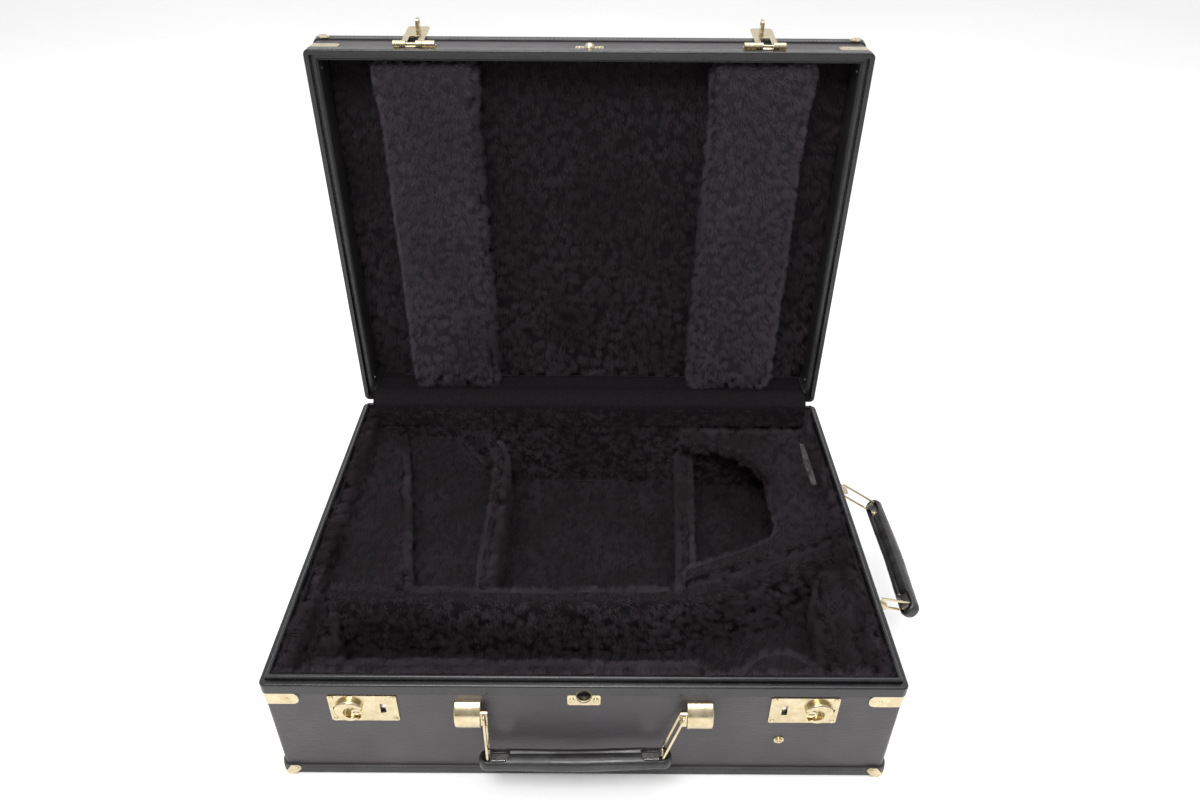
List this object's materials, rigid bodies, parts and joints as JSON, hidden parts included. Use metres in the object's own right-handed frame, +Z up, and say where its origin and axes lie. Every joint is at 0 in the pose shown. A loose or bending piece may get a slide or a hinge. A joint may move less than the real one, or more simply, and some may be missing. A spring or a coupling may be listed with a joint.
{
  "type": "hard instrument case",
  "caption": "Hard case, open, with a hinged lid on flip-over hasps and slide locks, a swivelling grip handle on the front and on one side, and a plush tray shaped for wind instruments.",
  "frame": {"origin": "centre of the tray's footprint, at the level of the surface that it stands on", "axes": "+X to the right as seen from the front handle, +Y from the front wall to the hinge, +Z up"},
  "size_m": [0.6246, 0.5153, 0.5652],
  "materials": {
    "leatherette": "grained leatherette, satin",
    "binding": "stitched vinyl edge binding",
    "rim": "black satin moulding",
    "board": "plywood board, covered on both sides",
    "plush": "short pile plush",
    "lid_cloth": "smooth lining cloth",
    "brass": "pale polished brass plate",
    "steel": "plain steel",
    "grip_leather": "black leather, satin",
    "tab_leather": "undyed suede strip"
  },
  "bodies": {
    "base": {"base_covering": "leatherette", "base_welt": "binding", "base_rim": "rim", "base_box": "board", "base_lining": "plush", "front_partition": "plush", "front_bolster": "plush", "half_round_pad": "plush", "trough_end_pads": "plush", "left_block": "plush", "well_divider": "plush", "bell_saddle": "plush", "accessory_box": "plush", "hinge_gusset": "plush", "base_corner_plates": "brass", "base_corner_caps": "brass", "centre_socket": "brass", "strap_stud": "brass", "hinge_base_leaf": "brass", "lock_plate_left": "brass", "lock_plate_right": "brass", "front_mounts": "brass", "side_mounts": "brass", "base_fasteners": "brass", "hinge_pin": "steel", "lock_cases": "steel"},
    "lid": {"lid_box": "board", "lid_covering": "leatherette", "lid_welt": "binding", "lid_rim": "rim", "lid_lining": "lid_cloth", "lid_pad_left": "plush", "lid_pad_right": "plush", "lid_corner_plates": "brass", "lid_corner_caps": "brass", "hasp_base_left": "brass", "hasp_base_right": "brass", "centre_boss": "brass", "hinge_lid_leaf": "brass", "lid_fasteners": "brass"},
    "hasp_left": {"hasp_left": "brass"},
    "hasp_right": {"hasp_right": "brass"},
    "lock_slide_left": {"thumb_slide_left": "brass", "lock_bolt_left": "steel"},
    "lock_slide_right": {"thumb_slide_right": "brass", "lock_bolt_right": "steel"},
    "key_left": {"key_cylinder_left": "brass"},
    "key_right": {"key_cylinder_right": "brass"},
    "front_swivels": {"front_swivels": "brass"},
    "front_ring_left": {"front_ring_left": "brass"},
    "front_ring_right": {"front_ring_right": "brass"},
    "front_handle": {"front_handle_core": "steel", "front_handle_grip": "grip_leather"},
    "side_swivels": {"side_swivels": "brass"},
    "side_ring_front": {"side_ring_front": "brass"},
    "side_ring_rear": {"side_ring_rear": "brass"},
    "side_handle": {"side_handle_core": "steel", "side_handle_grip": "grip_leather"},
    "accessory_lid": {"accessory_lid": "plush", "pull_tab": "tab_leather"}
  },
  "joints": [
    {"name": "lid_hinge", "type": "hinge", "parent": "base", "child": "lid", "pos_m": [0, 0.213, 0.1252], "axis": [-1, 0, 0], "range_deg": [-89.3, 5]},
    {"name": "hasp_left_hinge", "type": "hinge", "parent": "lid", "child": "hasp_left", "pos_m": [-0.176, 0.22581, 0.55049], "axis": [-1, 0, 0], "range_deg": [-175, 0]},
    {"name": "hasp_right_hinge", "type": "hinge", "parent": "lid", "child": "hasp_right", "pos_m": [0.176, 0.22581, 0.55049], "axis": [-1, 0, 0], "range_deg": [-175, 0]},
    {"name": "lock_slide_left", "type": "slide", "parent": "base", "child": "lock_slide_left", "axis": [-1, 0, 0], "range_m": [0, 0.006]},
    {"name": "lock_slide_right", "type": "slide", "parent": "base", "child": "lock_slide_right", "axis": [1, 0, 0], "range_m": [0, 0.006]},
    {"name": "key_left_turn", "type": "hinge", "parent": "base", "child": "key_left", "pos_m": [-0.1995, -0.2085, 0.095], "axis": [0, -1, 0], "range_deg": [0, 90]},
    {"name": "key_right_turn", "type": "hinge", "parent": "base", "child": "key_right", "pos_m": [0.1995, -0.2085, 0.095], "axis": [0, -1, 0], "range_deg": [0, 90]},
    {"name": "front_handle_swing", "type": "hinge", "parent": "base", "child": "front_swivels", "pos_m": [0, -0.217, 0.101], "axis": [-1, 0, 0], "range_deg": [-5, 155]},
    {"name": "front_handle_sway", "type": "hinge", "parent": "front_swivels", "child": "front_ring_left", "pos_m": [-0.0866, -0.217, 0.101], "axis": [0, 0.9848, -0.1736], "range_deg": [-18, 0]},
    {"name": "front_ring_right_sway", "type": "hinge", "parent": "front_swivels", "child": "front_ring_right", "pos_m": [0.0866, -0.217, 0.101], "axis": [0, 0.9848, -0.1736], "range_deg": [-18, 0]},
    {"name": "front_grip_level", "type": "hinge", "parent": "front_ring_left", "child": "front_handle", "pos_m": [-0.08485, -0.22568, 0.05179], "axis": [0, 0.9848, -0.1736], "range_deg": [0, 20.3]},
    {"name": "side_handle_swing", "type": "hinge", "parent": "base", "child": "side_swivels", "pos_m": [0.287, 0, 0.101], "axis": [0, -1, 0], "range_deg": [-52, 108]},
    {"name": "side_handle_sway", "type": "hinge", "parent": "side_swivels", "child": "side_ring_front", "pos_m": [0.287, -0.0866, 0.101], "axis": [-0.5446, 0, -0.8387], "range_deg": [0, 18]},
    {"name": "side_ring_rear_sway", "type": "hinge", "parent": "side_swivels", "child": "side_ring_rear", "pos_m": [0.287, 0.0866, 0.101], "axis": [-0.5446, 0, -0.8387], "range_deg": [0, 18]},
    {"name": "side_grip_level", "type": "hinge", "parent": "side_ring_front", "child": "side_handle", "pos_m": [0.32641, -0.0695, 0.07541], "axis": [-0.5446, 0, -0.8387], "range_deg": [-20.3, 0]},
    {"name": "accessory_lid_hinge", "type": "hinge", "parent": "base", "child": "accessory_lid", "pos_m": [0.099, 0, 0.086], "axis": [0, -1, 0], "range_deg": [0, 100]}
  ],
  "couplings": [
    {"joint": "front_ring_right_sway", "follows": "front_handle_sway", "ratio": 1},
    {"joint": "front_grip_level", "follows": "front_handle_sway", "ratio": -1.1231},
    {"joint": "side_ring_rear_sway", "follows": "side_handle_sway", "ratio": 1},
    {"joint": "side_grip_level", "follows": "side_handle_sway", "ratio": -1.1231}
  ]
}
